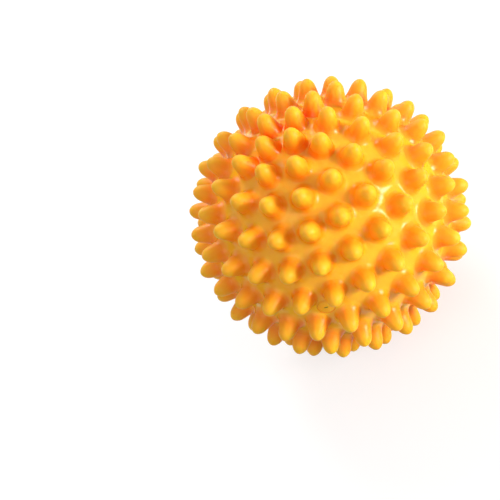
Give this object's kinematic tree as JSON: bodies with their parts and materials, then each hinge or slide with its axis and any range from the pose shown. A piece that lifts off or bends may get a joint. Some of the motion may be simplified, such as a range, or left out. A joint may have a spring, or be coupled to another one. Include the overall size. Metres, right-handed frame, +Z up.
{
  "type": "spiky massage ball",
  "caption": "Hollow soft plastic ball covered in blunt cone-shaped nubs, with a small plugged needle valve at its equator, rolled or squeezed to massage muscles.",
  "frame": {"origin": "on the surface that the ball stands on, straight below its centre", "axes": "+Z up, along the axis that the rings of nubs run round; the needle valve faces -Y; +X completes the frame"},
  "size_m": [0.0882, 0.0882, 0.0884],
  "materials": {
    "skin_pvc": "glossy soft PVC, slightly translucent, amber yellow",
    "seat_pvc": "plain moulded soft PVC",
    "plug_rubber": "satin rubber in the colour of the skin"
  },
  "bodies": {
    "ball": {"spiky_skin": "skin_pvc", "valve_seat": "seat_pvc"},
    "plug": {"valve_plug": "plug_rubber"}
  },
  "joints": [
    {"name": "valve_plug_pull", "type": "slide", "parent": "ball", "child": "plug", "axis": [0, -1, 0], "range_m": [0, 0.012]}
  ]
}
